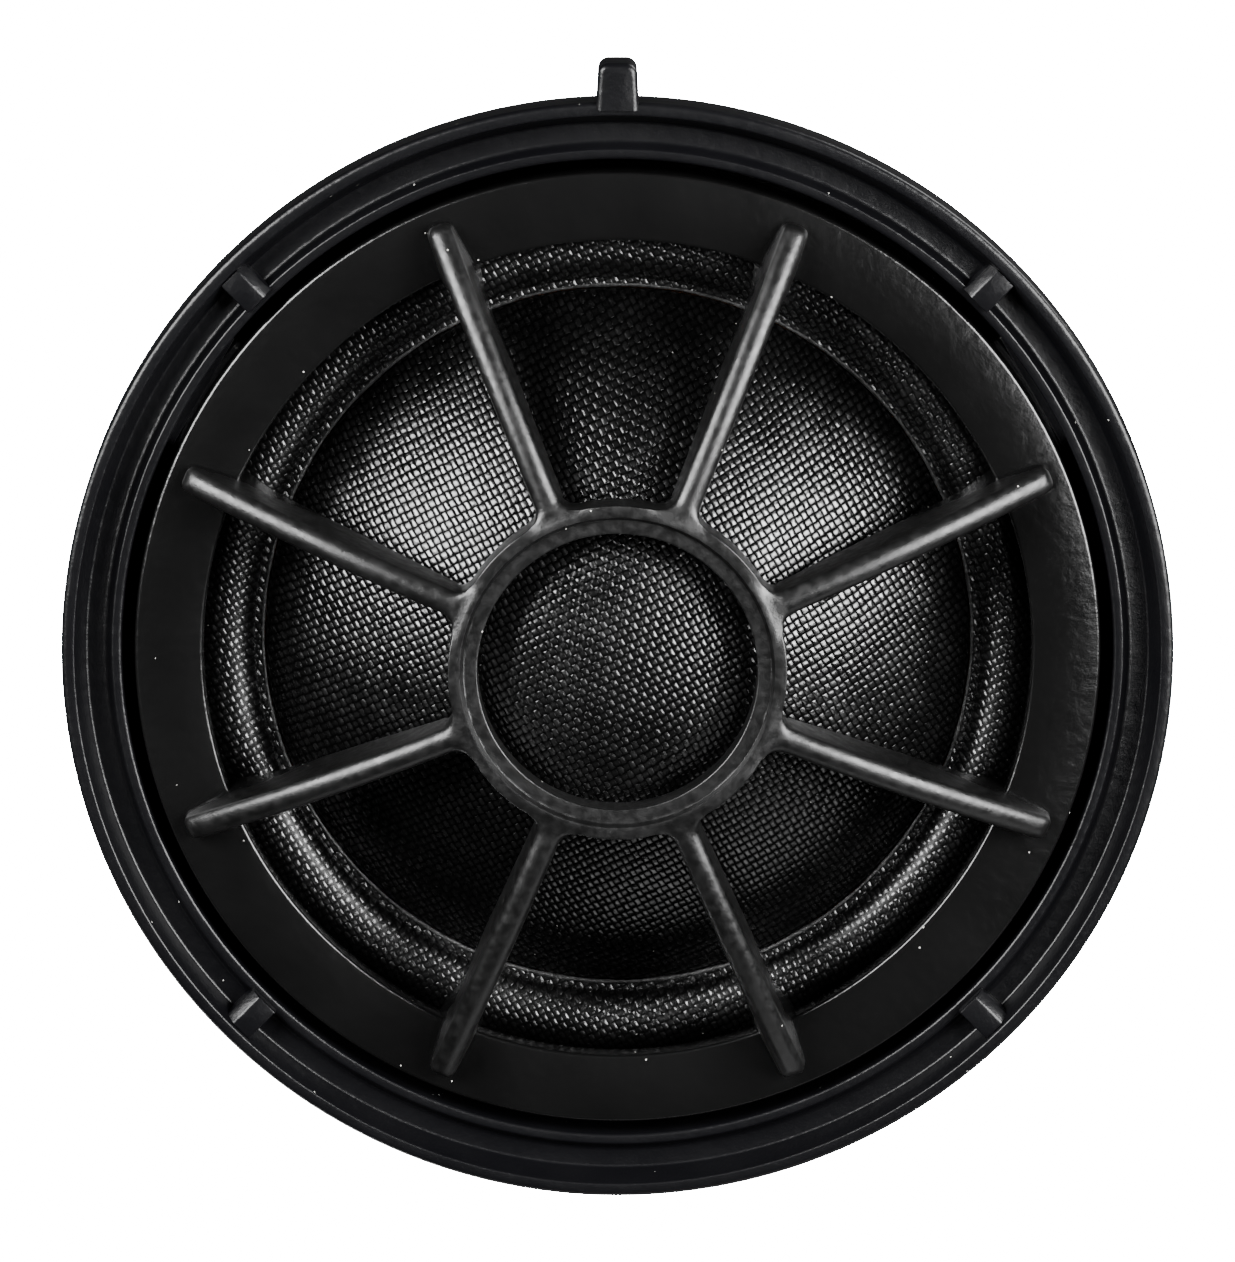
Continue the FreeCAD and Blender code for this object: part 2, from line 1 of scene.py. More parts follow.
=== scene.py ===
# %% [markdown]
# # A soft-dome car tweeter in its panel ring
#
# The CAD model gives the places and the sizes of every part. This script loads it as a fixed frame and makes
# the looks around it: the moulded ring and guard with their rounded edges, the woven dome, the rolled
# surround, and a finish for every part.

# %% Load the frame
import math

import bpy
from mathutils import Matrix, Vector


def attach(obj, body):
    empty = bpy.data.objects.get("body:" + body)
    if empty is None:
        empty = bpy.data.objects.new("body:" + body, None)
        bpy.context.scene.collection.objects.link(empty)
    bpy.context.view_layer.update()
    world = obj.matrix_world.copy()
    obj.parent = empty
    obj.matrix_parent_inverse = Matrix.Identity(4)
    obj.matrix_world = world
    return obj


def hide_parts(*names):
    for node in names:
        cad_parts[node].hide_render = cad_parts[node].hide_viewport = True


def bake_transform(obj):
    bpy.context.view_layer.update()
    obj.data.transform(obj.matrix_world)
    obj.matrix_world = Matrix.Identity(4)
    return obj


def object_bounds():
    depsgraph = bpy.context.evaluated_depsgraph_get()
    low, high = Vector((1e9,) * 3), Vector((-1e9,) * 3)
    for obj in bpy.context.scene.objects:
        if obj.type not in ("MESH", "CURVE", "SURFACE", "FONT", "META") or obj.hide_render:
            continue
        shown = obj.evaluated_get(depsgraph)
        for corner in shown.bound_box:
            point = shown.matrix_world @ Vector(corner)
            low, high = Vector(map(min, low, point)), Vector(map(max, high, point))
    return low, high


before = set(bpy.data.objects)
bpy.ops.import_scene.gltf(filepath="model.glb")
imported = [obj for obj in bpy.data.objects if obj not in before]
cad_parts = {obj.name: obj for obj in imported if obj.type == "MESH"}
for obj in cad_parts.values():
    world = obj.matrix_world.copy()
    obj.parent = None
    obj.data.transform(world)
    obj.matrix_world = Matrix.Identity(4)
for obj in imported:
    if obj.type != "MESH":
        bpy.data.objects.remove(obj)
cad_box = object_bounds()
print("CAD box in mm:", [[round(v * 1000, 2) for v in corner] for corner in cad_box])

# %% [markdown]
# ## Working units
#
# The parts are only millimetres across. They are modelled with one unit for one millimetre, so that every
# size in a cell reads as a drawing would give it. The last step of each piece scales its mesh down to metres
# and leaves the object itself at the origin, unturned and unscaled.

# %% Helpers for objects
MM = 0.001


def only(obj):
    """Select one object alone and make it the active one."""
    bpy.ops.object.select_all(action="DESELECT")
    obj.select_set(True)
    bpy.context.view_layer.objects.active = obj


def apply_place(obj):
    """Write an object's place, turn and scale into its mesh, and leave the object at the origin."""
    only(obj)
    bpy.ops.object.transform_apply(location=True, rotation=True, scale=True)


def apply_modifiers(obj):
    """Make every modifier of an object part of its mesh."""
    only(obj)
    for modifier in list(obj.modifiers):
        bpy.ops.object.modifier_apply(modifier=modifier.name)


def join(name, parts):
    """Join several objects into the first one."""
    only(parts[0])
    for part in parts:
        part.select_set(True)
    bpy.ops.object.join()
    parts[0].name = name
    return parts[0]


def weld(obj, distance=0.0005):
    """Merge points that lie together, and turn all faces outwards."""
    only(obj)
    bpy.ops.object.mode_set(mode="EDIT")
    bpy.ops.mesh.select_all(action="SELECT")
    bpy.ops.mesh.remove_doubles(threshold=distance)
    bpy.ops.mesh.normals_make_consistent(inside=False)
    bpy.ops.object.mode_set(mode="OBJECT")


def combine(body, other, operation):
    """Add one solid to another, or cut it away, and remove the second one."""
    modifier = body.modifiers.new(operation, "BOOLEAN")
    modifier.operation = operation
    modifier.solver = "EXACT"
    modifier.object = other
    apply_modifiers(body)
    bpy.data.objects.remove(other)


def settle(obj, body, node, material, smooth=30):
    """Bring a finished piece to metres, shade it, and hand it to its body in place of a CAD node."""
    obj.scale = (MM, MM, MM)
    apply_place(obj)
    bpy.ops.object.shade_smooth_by_angle(angle=math.radians(smooth))
    obj.data.materials.clear()
    obj.data.materials.append(material)
    if body:
        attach(obj, body)
    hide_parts(*([node] if isinstance(node, str) else node))
    print(f"{obj.name}: {len(obj.data.polygons)} faces, stands for {node}")
    return obj


print("one millimetre in the finished scene:", MM)

# %% [markdown]
# ## Camera
#
# The tweeter lies on its back and is seen from almost straight above, from a little towards the key tab, so
# that the parts that stand high shift down against the ring. An orthographic camera would also keep the
# circles round, but it loses that shift, so a long lens far away is used.

# %% Camera
VIEW_TILT = math.radians(10.4)
VIEW_DISTANCE = 0.36
VIEW_HEIGHT = 0.04535  # how much of the scene the taller side of the picture takes in, in metres
LOOK_AT = (0.0, 0.00086, 0.0021)

bpy.ops.object.camera_add()
camera = bpy.context.object
camera.name = "camera"
camera.data.lens = camera.data.sensor_width * VIEW_DISTANCE / VIEW_HEIGHT
camera.data.clip_start = 0.01
camera.data.clip_end = 10
camera.location = (
    LOOK_AT[0],
    LOOK_AT[1] + VIEW_DISTANCE * math.sin(VIEW_TILT),
    LOOK_AT[2] + VIEW_DISTANCE * math.cos(VIEW_TILT),
)
camera.rotation_euler = (-VIEW_TILT, 0, 0)
bpy.context.scene.camera = camera
print("lens in mm:", round(camera.data.lens, 1))

# %% [markdown]
# ## Floor and light
#
# Black plastic is drawn by what it mirrors, so the lights are large rectangles, as softboxes are in a studio,
# and not points or a sun. Two stand low at the upper left and at the right and give the broad sheen on the
# cloth and the bright edges. A small one near the top gives the sheen in the middle of the dome, and a weak
# one, low on the side away from the key tab, lifts the cloth there out of black.
#
# The floor could be a plain white sheet, but it would take the tweeter's shadow and throw its light back
# under the rim. It is lit from within instead, and no other piece sees it. It is clear when seen from below,
# and two boxes under its level light the rear housing.

# %% Floor
def new_material(name):
    material = bpy.data.materials.new(name)
    material.use_nodes = True
    material.node_tree.nodes.clear()
    return material


def linear(hex_colour):
    """An sRGB hex colour as linear red, green, blue and alpha."""
    channels = [int(hex_colour[i:i + 2], 16) / 255 for i in (1, 3, 5)]
    return [c / 12.92 if c <= 0.04045 else ((c + 0.055) / 1.055) ** 2.4 for c in channels] + [1.0]


def add(material, kind, settings=(), inputs=()):
    """Add a node. Settings are its own values; an input takes a value or another node's output."""
    tree = material.node_tree
    node = tree.nodes.new(kind)
    for name, value in dict(settings).items():
        setattr(node, name, value)
    for name, value in dict(inputs).items():
        if isinstance(value, bpy.types.NodeSocket):
            tree.links.new(value, node.inputs[name])
        else:
            node.inputs[name].default_value = value
    return node


FLOOR_Z = cad_box[0][2]
FLOOR_GAP = 0.00002  # the tweeter hovers by a hair, so that its rear face and the floor do not flicker
PAPER_LIGHT = 60.0  # strong enough to stay pure white
floor_paper = new_material("pale_paper")
paper = add(floor_paper, "ShaderNodeEmission", inputs={"Color": linear("#ffffff"), "Strength": PAPER_LIGHT})
clear = add(floor_paper, "ShaderNodeBsdfTransparent")
underneath = add(floor_paper, "ShaderNodeNewGeometry").outputs["Backfacing"]
one_way = add(floor_paper, "ShaderNodeMixShader", inputs={
    0: underneath, 1: paper.outputs[0], 2: clear.outputs[0]})
add(floor_paper, "ShaderNodeOutputMaterial", inputs={"Surface": one_way.outputs[0]})
bpy.ops.mesh.primitive_plane_add(size=2.0, location=(0, 0, FLOOR_Z - FLOOR_GAP))
floor = bpy.context.object
floor.name = "floor"
apply_place(floor)
floor.data.materials.append(floor_paper)
floor.visible_glossy = False
floor.visible_diffuse = False
floor.visible_shadow = False
print("floor in mm:", round(floor.data.vertices[0].co.z * 1000, 2))

# %% Lights
def softbox(name, azimuth, elevation, distance, tall, wide, power):
    """A softbox in the given direction from the dome, aimed at it."""
    a, e = math.radians(azimuth), math.radians(elevation)
    level = distance * math.cos(e)
    place = [level * math.cos(a), level * math.sin(a), distance * math.sin(e)]
    bpy.ops.object.light_add(type="AREA", location=place)
    light = bpy.context.object
    light.name = name
    light.data.shape = "RECTANGLE"
    light.data.size = tall
    light.data.size_y = wide
    light.data.energy = power
    light.rotation_euler = (0, math.pi / 2 - e, a)
    return light


# azimuth and elevation in degrees, distance and both sides in metres, power in watts
softbox("softbox_left", 151, 37, 0.30, 0.19, 0.16, 4.9)
softbox("softbox_right", 17, 38, 0.30, 0.20, 0.17, 5.8)
softbox("softbox_top", -5, 70, 0.35, 0.05, 0.05, 0.13)
softbox("softbox_low", -70, 17, 0.30, 0.11, 0.30, 0.2)
softbox("softbox_under_near", -120, -24, 0.30, 0.16, 0.16, 1.7)
softbox("softbox_under_far", 45, -24, 0.30, 0.16, 0.16, 1.0)
WORLD_LIGHT = 0.05  # a faint grey from all sides, so that no shadow is quite empty
world = bpy.data.worlds.new("studio")
world.use_nodes = True
world.node_tree.nodes["Background"].inputs["Color"].default_value = linear("#ffffff")
world.node_tree.nodes["Background"].inputs["Strength"].default_value = WORLD_LIGHT
bpy.context.scene.world = world

# %% [markdown]
# ## Turned sections
#
# The ring and the faceplate are round mouldings. Their section is drawn once, with a true arc at each
# corner, and turned about the axis. Spin could do that, but it leaves a seam to close. Here a circle is added
# at the first point of the section, then extruded and scaled from point to point until it closes on itself.

# %% Rounded sections and turning
def rounded(corners, steps=4):
    """The closed outline through (radius, height, rounding) corners, with an arc at each rounded one."""
    points = []
    for i, (r, z, rounding) in enumerate(corners):
        if not rounding:
            points.append((r, z))
            continue
        here = Vector((r, z))
        back = (Vector(corners[i - 1][:2]) - here).normalized()
        ahead = (Vector(corners[(i + 1) % len(corners)][:2]) - here).normalized()
        half = back.angle(ahead) / 2
        centre = here + (back + ahead).normalized() * (rounding / math.sin(half))
        start = here + back * (rounding / math.tan(half)) - centre
        end = here + ahead * (rounding / math.tan(half)) - centre
        for k in range(steps + 1):
            points.append(tuple(centre + start.slerp(end, k / steps).normalized() * rounding))
    return points


def turn(name, section, sides=224):
    """Turn a closed section of (radius, height) points about the axis."""
    bpy.ops.mesh.primitive_circle_add(vertices=sides, radius=section[0][0], location=(0, 0, section[0][1]))
    obj = bpy.context.object
    obj.name = name
    apply_place(obj)
    bpy.ops.object.mode_set(mode="EDIT")
    bpy.ops.mesh.select_all(action="SELECT")
    for (r0, z0), (r1, z1) in zip(section, section[1:] + section[:1]):
        bpy.ops.mesh.extrude_region_move(TRANSFORM_OT_translate={"value": (0, 0, z1 - z0)})
        bpy.ops.transform.resize(value=(r1 / r0, r1 / r0, 1), center_override=(0, 0, 0))
    bpy.ops.object.mode_set(mode="OBJECT")
    weld(obj)
    return obj


square = rounded([(1, 0, 0.1), (2, 0, 0.1), (2, 1, 0.1), (1, 1, 0.1)])
print("a square section with rounded corners:", len(square), "points")

# %% [markdown]
# ## The panel ring
#
# On the real tweeter this is one ABS moulding: a rim, a sloped channel, a low inner lip and a barrel that
# goes into the panel. The section is turned, because everything but a few details is round. The four ribs
# and the key tab could be extruded out of the ring's faces, but they cross several of its slopes, so they are
# modelled as blocks and joined with booleans. The three clip windows are cut away in the same way.

# %% Ring section
RIM_R, RIM_INNER_R, CHANNEL_R, LIP_R, BORE_R = 20.0, 19.53, 19.17, 18.21, 17.86
RIM_Z, LIP_Z, CHANNEL_Z = 2.2, 1.44, 1.05
BARREL_R, BARREL_Z, LEDGE_R, LEDGE_Z = 18.5, -4.7, 16.7, -3.5
LIP_DRAFT, CHANNEL_FALL = 0.22, 0.05

# each corner is a radius, a height and a rounding
ring_section = rounded([
    (BORE_R, LIP_Z, 0.12), (LIP_R, LIP_Z, 0.10), (LIP_R + LIP_DRAFT, CHANNEL_Z, 0.25),
    (CHANNEL_R, CHANNEL_Z - CHANNEL_FALL, 0.12), (RIM_INNER_R, RIM_Z, 0.08), (RIM_R, RIM_Z, 0.2),
    (RIM_R, 0, 0.15), (BARREL_R, 0, 0), (BARREL_R, BARREL_Z, 0.3), (LEDGE_R, BARREL_Z, 0.15),
    (LEDGE_R, LEDGE_Z, 0.15), (BORE_R, LEDGE_Z, 0),
])
ring = turn("panel_ring", ring_section)
print("ring section points:", len(ring_section))

# %% Blocks with rounded edges
def block(name, low, high):
    """A box between two corners, its object at the origin."""
    size = [b - a for a, b in zip(low, high)]
    bpy.ops.mesh.primitive_cube_add(size=1, location=[(a + b) / 2 for a, b in zip(low, high)])
    obj = bpy.context.object
    obj.name = name
    obj.scale = size
    apply_place(obj)
    return obj


def move_points(obj, where):
    """Move each point of a mesh by a formula of its place."""
    for vertex in obj.data.vertices:
        vertex.co = where(*vertex.co)


def select_edges(obj, wanted):
    """Go into edit mode with only the edges whose two ends satisfy a test."""
    only(obj)
    bpy.ops.object.mode_set(mode="EDIT")
    bpy.ops.mesh.select_mode(type="EDGE")
    bpy.ops.mesh.select_all(action="DESELECT")
    bpy.ops.object.mode_set(mode="OBJECT")
    points = obj.data.vertices
    for edge in obj.data.edges:
        a, b = (points[i].co for i in edge.vertices)
        edge.select = bool(wanted(a, b))
    bpy.ops.object.mode_set(mode="EDIT")


def round_edges(obj, wanted, width, segments=3):
    """Round the edges that satisfy a test."""
    select_edges(obj, wanted)
    bpy.ops.mesh.bevel(offset=width, segments=segments, affect="EDGES", clamp_overlap=True)
    bpy.ops.object.mode_set(mode="OBJECT")

# %% Ribs
RIB_HALF, RIB_Z, RIB_ROOT_Z = 0.575, 2.06, 0.7
RIB_INTO_LIP, RIB_INTO_RIM = 0.12, 0.3
RIB_SLOPE, RIB_ROUNDING = 0.34, 0.06
RIB_TOP_ABOVE, RIB_SLOPE_ABOVE = 2, 1.6  # what lies higher is the rib's top, or its top and its slope


def channel_rib(uphill):
    """A block across the channel, along +X, with a slope on its uphill side."""
    low = (LIP_R - RIB_INTO_LIP, -RIB_HALF, RIB_ROOT_Z)
    high = (CHANNEL_R + RIB_INTO_RIM, RIB_HALF, RIB_Z)
    rib = block("rib", low, high)

    def uphill_edge(a, b):
        return min(a.z, b.z) > RIB_TOP_ABOVE and min(a.y * uphill, b.y * uphill) > 0

    round_edges(rib, uphill_edge, RIB_SLOPE, 1)
    round_edges(rib, lambda a, b: min(a.z, b.z) > RIB_SLOPE_ABOVE, RIB_ROUNDING, 2)
    return rib


for angle in (45, 135, 225, 315):
    side = 1 if math.cos(math.radians(angle)) > 0 else -1
    rib = channel_rib(side)
    rib.rotation_euler = (0, 0, math.radians(angle))
    apply_place(rib)
    combine(ring, rib, "UNION")
print("ring with ribs:", len(ring.data.polygons), "faces")

# %% Key tab
TAB_HALF, TAB_END_HALF, TAB_END_Y = 0.775, 0.68, 21.4
TAB_INTO_RIM, TAB_LOW_Z, TAB_Z = 0.3, 0.3, 2.3
TAB_CORNER, TAB_ROUNDING = 0.36, 0.22
tab = block("key_tab", (-TAB_HALF, RIM_R - TAB_INTO_RIM, TAB_LOW_Z), (TAB_HALF, TAB_END_Y, TAB_Z))
middle_y = (RIM_R + TAB_END_Y) / 2
move_points(tab, lambda x, y, z: (x * (TAB_END_HALF / TAB_HALF if y > middle_y else 1), y, z))
round_edges(tab, lambda a, b: min(a.y, b.y) > middle_y and abs(a.z - b.z) > 1, TAB_CORNER, 5)
round_edges(tab, lambda a, b: min(a.z, b.z) > RIM_Z and max(a.y, b.y) > RIM_R, TAB_ROUNDING, 4)
combine(ring, tab, "UNION")
print("ring with key tab:", len(ring.data.polygons), "faces")

# %% Clip windows
WINDOW_HALF, WINDOW_LOW_Z, WINDOW_Z = 2.25, -4.1, -2.9
WINDOW_PAST_IN, WINDOW_PAST_OUT = 0.5, 1  # how far a cutter stands out of the barrel wall on either side
for angle in (30, 150, 270):
    low = (BORE_R - WINDOW_PAST_IN, -WINDOW_HALF, WINDOW_LOW_Z)
    high = (BARREL_R + WINDOW_PAST_OUT, WINDOW_HALF, WINDOW_Z)
    window = block("window", low, high)
    window.rotation_euler = (0, 0, math.radians(angle))
    apply_place(window)
    combine(ring, window, "DIFFERENCE")
print("ring with windows:", len(ring.data.polygons), "faces")

# %% [markdown]
# ## The faceplate and its guard
#
# The faceplate is a satin annulus with a rolled outer edge. The guard that grows out of it is a spider of
# eight arched spokes and a central ring. Eight bars joined to a ring by booleans would leave sharp creases
# where a mould leaves soft webs. So the spider is drawn from above as one net of quads: a ring with a row of
# faces for every spoke to grow from. Every point is lifted to the height of the arch, the net is extruded
# downwards into a solid, and its upper edges are rounded.

# %% Faceplate
PLATE_R, PLATE_HOLE_R, PLATE_Z, PLATE_UNDER_Z = 17.4, 14.93, 1.44, 0.2
SKIRT_IN_R, STEP_R, STEP_Z = 16.72, 15.95, -1.68
guard = turn("faceplate_guard_moulding", rounded([
    (PLATE_HOLE_R, PLATE_Z, 0.12), (PLATE_R, PLATE_Z, 0.14), (PLATE_R, LEDGE_Z, 0.1),
    (SKIRT_IN_R, LEDGE_Z, 0.1), (SKIRT_IN_R, STEP_Z, 0), (STEP_R, STEP_Z, 0.1),
    (STEP_R, PLATE_UNDER_Z, 0.2), (PLATE_HOLE_R, PLATE_UNDER_Z, 0.15),
]))
print("faceplate:", len(guard.data.polygons), "faces")

# %% Spoke and ring outlines
SPOKES, FIRST_SPOKE = 8, 22.5  # the first spoke's angle in degrees
GUARD_IN, GUARD_OUT, GUARD_Z, GUARD_UNDER_Z = 5.0, 6.05, 5.8, 4.2
TIP_R, TIP_Z, ARCH_R, ARCH_Z = 16.82, 2.2, 11.0, 4.75
SHOULDER_R, SHOULDER_Z = GUARD_OUT - 0.1, GUARD_Z - 0.12
HALF_WIDTH, WEB, TIP_ROUNDING, CROWN = 0.46, 0.62, 0.3, 0.34
WEB_X = math.sqrt((GUARD_OUT + WEB) ** 2 - (HALF_WIDTH + WEB) ** 2)
WEB_ANGLE = math.asin((HALF_WIDTH + WEB) / (GUARD_OUT + WEB))


def arch_height(r):
    """The top line of a spoke: the parabola through its tip, its middle and the guard ring's shoulder."""
    a = (r - ARCH_R) * (r - TIP_R) / ((SHOULDER_R - ARCH_R) * (SHOULDER_R - TIP_R))
    b = (r - SHOULDER_R) * (r - TIP_R) / ((ARCH_R - SHOULDER_R) * (ARCH_R - TIP_R))
    c = (r - SHOULDER_R) * (r - ARCH_R) / ((TIP_R - SHOULDER_R) * (TIP_R - ARCH_R))
    return SHOULDER_Z * a + ARCH_Z * b + TIP_Z * c


def half_width(x):
    """Half a spoke's width: wide in the web at the ring, straight, and rounded at the tip."""
    if x < WEB_X:
        return HALF_WIDTH + WEB - math.sqrt(max(WEB ** 2 - (WEB_X - x) ** 2, 0))
    over = max(x - (TIP_R - TIP_ROUNDING), 0)
    return HALF_WIDTH - TIP_ROUNDING + math.sqrt(max(TIP_ROUNDING ** 2 - over ** 2, 0))


def net(name, columns, rows, place):
    """A grid of quads whose points go where place(u, v) says, with u and v from 0 to 1."""
    bpy.ops.mesh.primitive_grid_add(x_subdivisions=columns, y_subdivisions=rows, size=2)
    obj = bpy.context.object
    obj.name = name
    move_points(obj, lambda x, y, z: place((x + 1) / 2, (y + 1) / 2))
    return obj


print("arch heights in mm:", [round(arch_height(r), 2) for r in (SHOULDER_R, ARCH_R, TIP_R)])

# %% The spider's net
ACROSS, ALONG, WEB_ROWS, TIP_ROWS, BETWEEN = 8, 26, 5, 4, 6
FLAT_R, BRIM_R = 5.68, 5.8  # where the guard ring's flat top begins, and where its outer edge does
# radius and height of the guard ring's top: a low inner step, a rounded rise, and the flat
ring_rows = [(GUARD_IN, 5.58), (5.2, 5.58), (5.42, 5.58), (5.5, 5.585), (5.54, 5.62), (5.58, 5.74),
             (5.62, 5.79), (FLAT_R, GUARD_Z), (5.84, GUARD_Z), (GUARD_OUT, GUARD_Z)]


def crown(across, row, x):
    """How far a spoke's top falls away towards its sides and its tip, so that it is round."""
    grown = min(row / WEB_ROWS, 1)
    over = max(x - (TIP_R - TIP_ROUNDING), 0) / TIP_ROUNDING
    sides = 1 - math.sqrt(max(1 - across * across, 0))
    end = 1 - math.sqrt(max(1 - over * over, 0))
    return CROWN * grown * max(sides, end)


def spoke_place(u, v):
    """One spoke along +X, from the guard ring's outer circle to the rounded tip."""
    even = 2 * v - 1
    rounded_across = math.sin(even * math.pi / 2)
    row = u * ALONG
    across = even + (rounded_across - even) * min(row / WEB_ROWS, 1)
    start = GUARD_OUT * math.cos(across * WEB_ANGLE)
    root = GUARD_OUT * math.cos(WEB_ANGLE)
    straight = ALONG - WEB_ROWS - TIP_ROWS
    if row == 0:
        x, y = start, GUARD_OUT * math.sin(across * WEB_ANGLE)
    elif row <= WEB_ROWS:
        x = start + (WEB_X - start) * row / WEB_ROWS
        y = across * half_width(root + (WEB_X - root) * row / WEB_ROWS)
    elif row <= WEB_ROWS + straight:
        x = WEB_X + (TIP_R - TIP_ROUNDING - WEB_X) * (row - WEB_ROWS) / straight
        y = across * half_width(x)
    else:
        x = TIP_R - TIP_ROUNDING * (1 - math.sin((row - WEB_ROWS - straight) / TIP_ROWS * math.pi / 2))
        y = across * half_width(x)
    return x, y, arch_height(math.hypot(x, y)) - crown(across, row, x)


SECTOR = 2 * math.pi / SPOKES
WEB_LIMIT, BRIM_LIMIT = WEB_ANGLE * 1.01, GUARD_OUT + 0.001  # with a little room for points right on them
ring_angles = [-WEB_ANGLE + 2 * WEB_ANGLE * k / ACROSS for k in range(ACROSS + 1)]
ring_angles += [WEB_ANGLE + (SECTOR - 2 * WEB_ANGLE) * k / BETWEEN for k in range(1, BETWEEN + 1)]


def ring_place(u, v):
    """One eighth of the guard ring, with a column for every point of a spoke's root."""
    angle = ring_angles[round(u * (ACROSS + BETWEEN))]
    r, z = ring_rows[round(v * (len(ring_rows) - 1))]
    return r * math.cos(angle), r * math.sin(angle), z


def shoulder(x, y, z):
    """Let the ring's outer edge run level with the spokes where they meet it."""
    r = math.hypot(x, y)
    turn_in = (math.atan2(y, x) - math.radians(FIRST_SPOKE)) % SECTOR
    near = min(turn_in, SECTOR - turn_in)
    if r < BRIM_R or near > WEB_LIMIT or r > BRIM_LIMIT:
        return x, y, z
    return x, y, z + (arch_height(r) - z) * (r - FLAT_R) / (GUARD_OUT - FLAT_R)


parts = []
for k in range(SPOKES):
    turned = math.radians(FIRST_SPOKE) + k * SECTOR
    for made in (net("spoke", ALONG, ACROSS, spoke_place),
                 net("arc", ACROSS + BETWEEN, len(ring_rows) - 1, ring_place)):
        made.rotation_euler = (0, 0, turned)
        apply_place(made)
        parts.append(made)
spider = join("spider", parts)
move_points(spider, shoulder)
weld(spider)
print("spider net:", len(spider.data.polygons), "faces")

# %% The spider as a solid
FOOT_Z, FOOT_R = 0.3, PLATE_HOLE_R - 0.6
HAIR = 0.001  # a first small step down, before each point gets its own depth
STRAIGHT_FROM = GUARD_OUT + 0.4  # up to here a spoke is part of the ring's web and gets no draft
DRAFT, SPREAD, SPREAD_FROM = 1.2, 0.62, 13.9
SPREAD_FADE, SPREAD_LENGTH = 0.8, 1.9


def underside(x, y):
    """The height of the guard's underside: level under the ring, then falling to the faceplate."""
    slope = (GUARD_UNDER_Z - FOOT_Z) / (FOOT_R - GUARD_OUT)
    return max(GUARD_UNDER_Z - max(math.hypot(x, y) - GUARD_OUT, 0) * slope, FOOT_Z)


def flare(x, y):
    """Widen the foot of a spoke: moulding draft everywhere, and a spread base on the faceplate."""
    step = 360 / SPOKES
    middle = round((math.degrees(math.atan2(y, x)) - FIRST_SPOKE) / step) * step + FIRST_SPOKE
    along = Vector((math.cos(math.radians(middle)), math.sin(math.radians(middle))))
    point = Vector((x, y))
    length = point.dot(along)
    side = point - along * length
    if length < STRAIGHT_FROM:
        return x, y
    fade = 1 - SPREAD_FADE * max(length - PLATE_HOLE_R, 0) / SPREAD_LENGTH
    spread = min(max(length - SPREAD_FROM, 0), 1) * fade
    moved = along * length + side * (DRAFT + spread * SPREAD)
    return moved.x, moved.y


only(spider)
bpy.ops.object.mode_set(mode="EDIT")
bpy.ops.mesh.select_all(action="SELECT")
bpy.ops.mesh.extrude_region_move(TRANSFORM_OT_translate={"value": (0, 0, -HAIR)})
bpy.ops.object.mode_set(mode="OBJECT")
# the extruded points are still selected, and only they go down
for vertex in spider.data.vertices:
    if vertex.select:
        x, y = flare(vertex.co.x, vertex.co.y)
        vertex.co = (x, y, underside(vertex.co.x, vertex.co.y))
weld(spider, 0.0001)
print("spider as a solid:", len(spider.data.polygons), "faces")

# %% Round the spider's upper edges
FACES_UP, STANDS_UPRIGHT = 0.6, 0.35  # limits for the upward part of a face's normal
EDGE_ROUNDING, EDGE_STEPS = 0.26, 5


def is_outline(edge, mesh, faces_of):
    """An edge between the upper net and a wall."""
    normals = [mesh.polygons[i].normal.z for i in faces_of[edge.key]]
    return len(normals) == 2 and max(normals) > FACES_UP and abs(min(normals)) < STANDS_UPRIGHT


def select_outline(obj):
    """Go into edit mode with only the upper outline selected."""
    only(obj)
    bpy.ops.object.mode_set(mode="EDIT")
    bpy.ops.mesh.select_mode(type="EDGE")
    bpy.ops.mesh.select_all(action="DESELECT")
    bpy.ops.object.mode_set(mode="OBJECT")
    mesh = obj.data
    faces_of = {edge.key: [] for edge in mesh.edges}
    for face in mesh.polygons:
        for key in face.edge_keys:
            faces_of[key].append(face.index)
    for edge in mesh.edges:
        edge.select = is_outline(edge, mesh, faces_of)
    bpy.ops.object.mode_set(mode="EDIT")


select_outline(spider)
bpy.ops.mesh.bevel(offset=EDGE_ROUNDING, segments=EDGE_STEPS, affect="EDGES", clamp_overlap=True)
bpy.ops.object.mode_set(mode="OBJECT")
combine(guard, spider, "UNION")
print("guard:", len(guard.data.polygons), "faces")

# %% [markdown]
# ## Dome
#
# Dome and surround are one piece of silk on the real tweeter, pressed hot and coated with a glossy damping
# compound. The dome is a shallow cap. It could be cut from a sphere, but a grid whose points are moved onto
# the cap gives rows of even quads and a pole that merges into one point. Solidify gives the cloth its
# thickness.

# %% Dome
SEAM_R, SEAM_Z, DOME_R, DOME_HEIGHT, CLOTH = 12.885, -1.8, 12.78, 6.2, 0.12
SPHERE_R = (DOME_R ** 2 + DOME_HEIGHT ** 2) / (2 * DOME_HEIGHT)


def dome_point(u, v):
    """A point of the cap, u round it and v from the edge to the top."""
    tilt = math.asin(DOME_R / SPHERE_R) * (1 - v)
    turn_angle = 2 * math.pi * u
    r = SPHERE_R * math.sin(tilt)
    z = SPHERE_R * (math.cos(tilt) - 1) + SEAM_Z + DOME_HEIGHT
    return r * math.cos(turn_angle), r * math.sin(turn_angle), z


silk_dome = net("silk_dome", 160, 40, dome_point)
weld(silk_dome, 0.001)
shell = silk_dome.modifiers.new("cloth", "SOLIDIFY")
shell.thickness = CLOTH
shell.offset = -1
apply_modifiers(silk_dome)
print("dome:", len(silk_dome.data.polygons), "faces, sphere radius in mm:", round(SPHERE_R, 2))

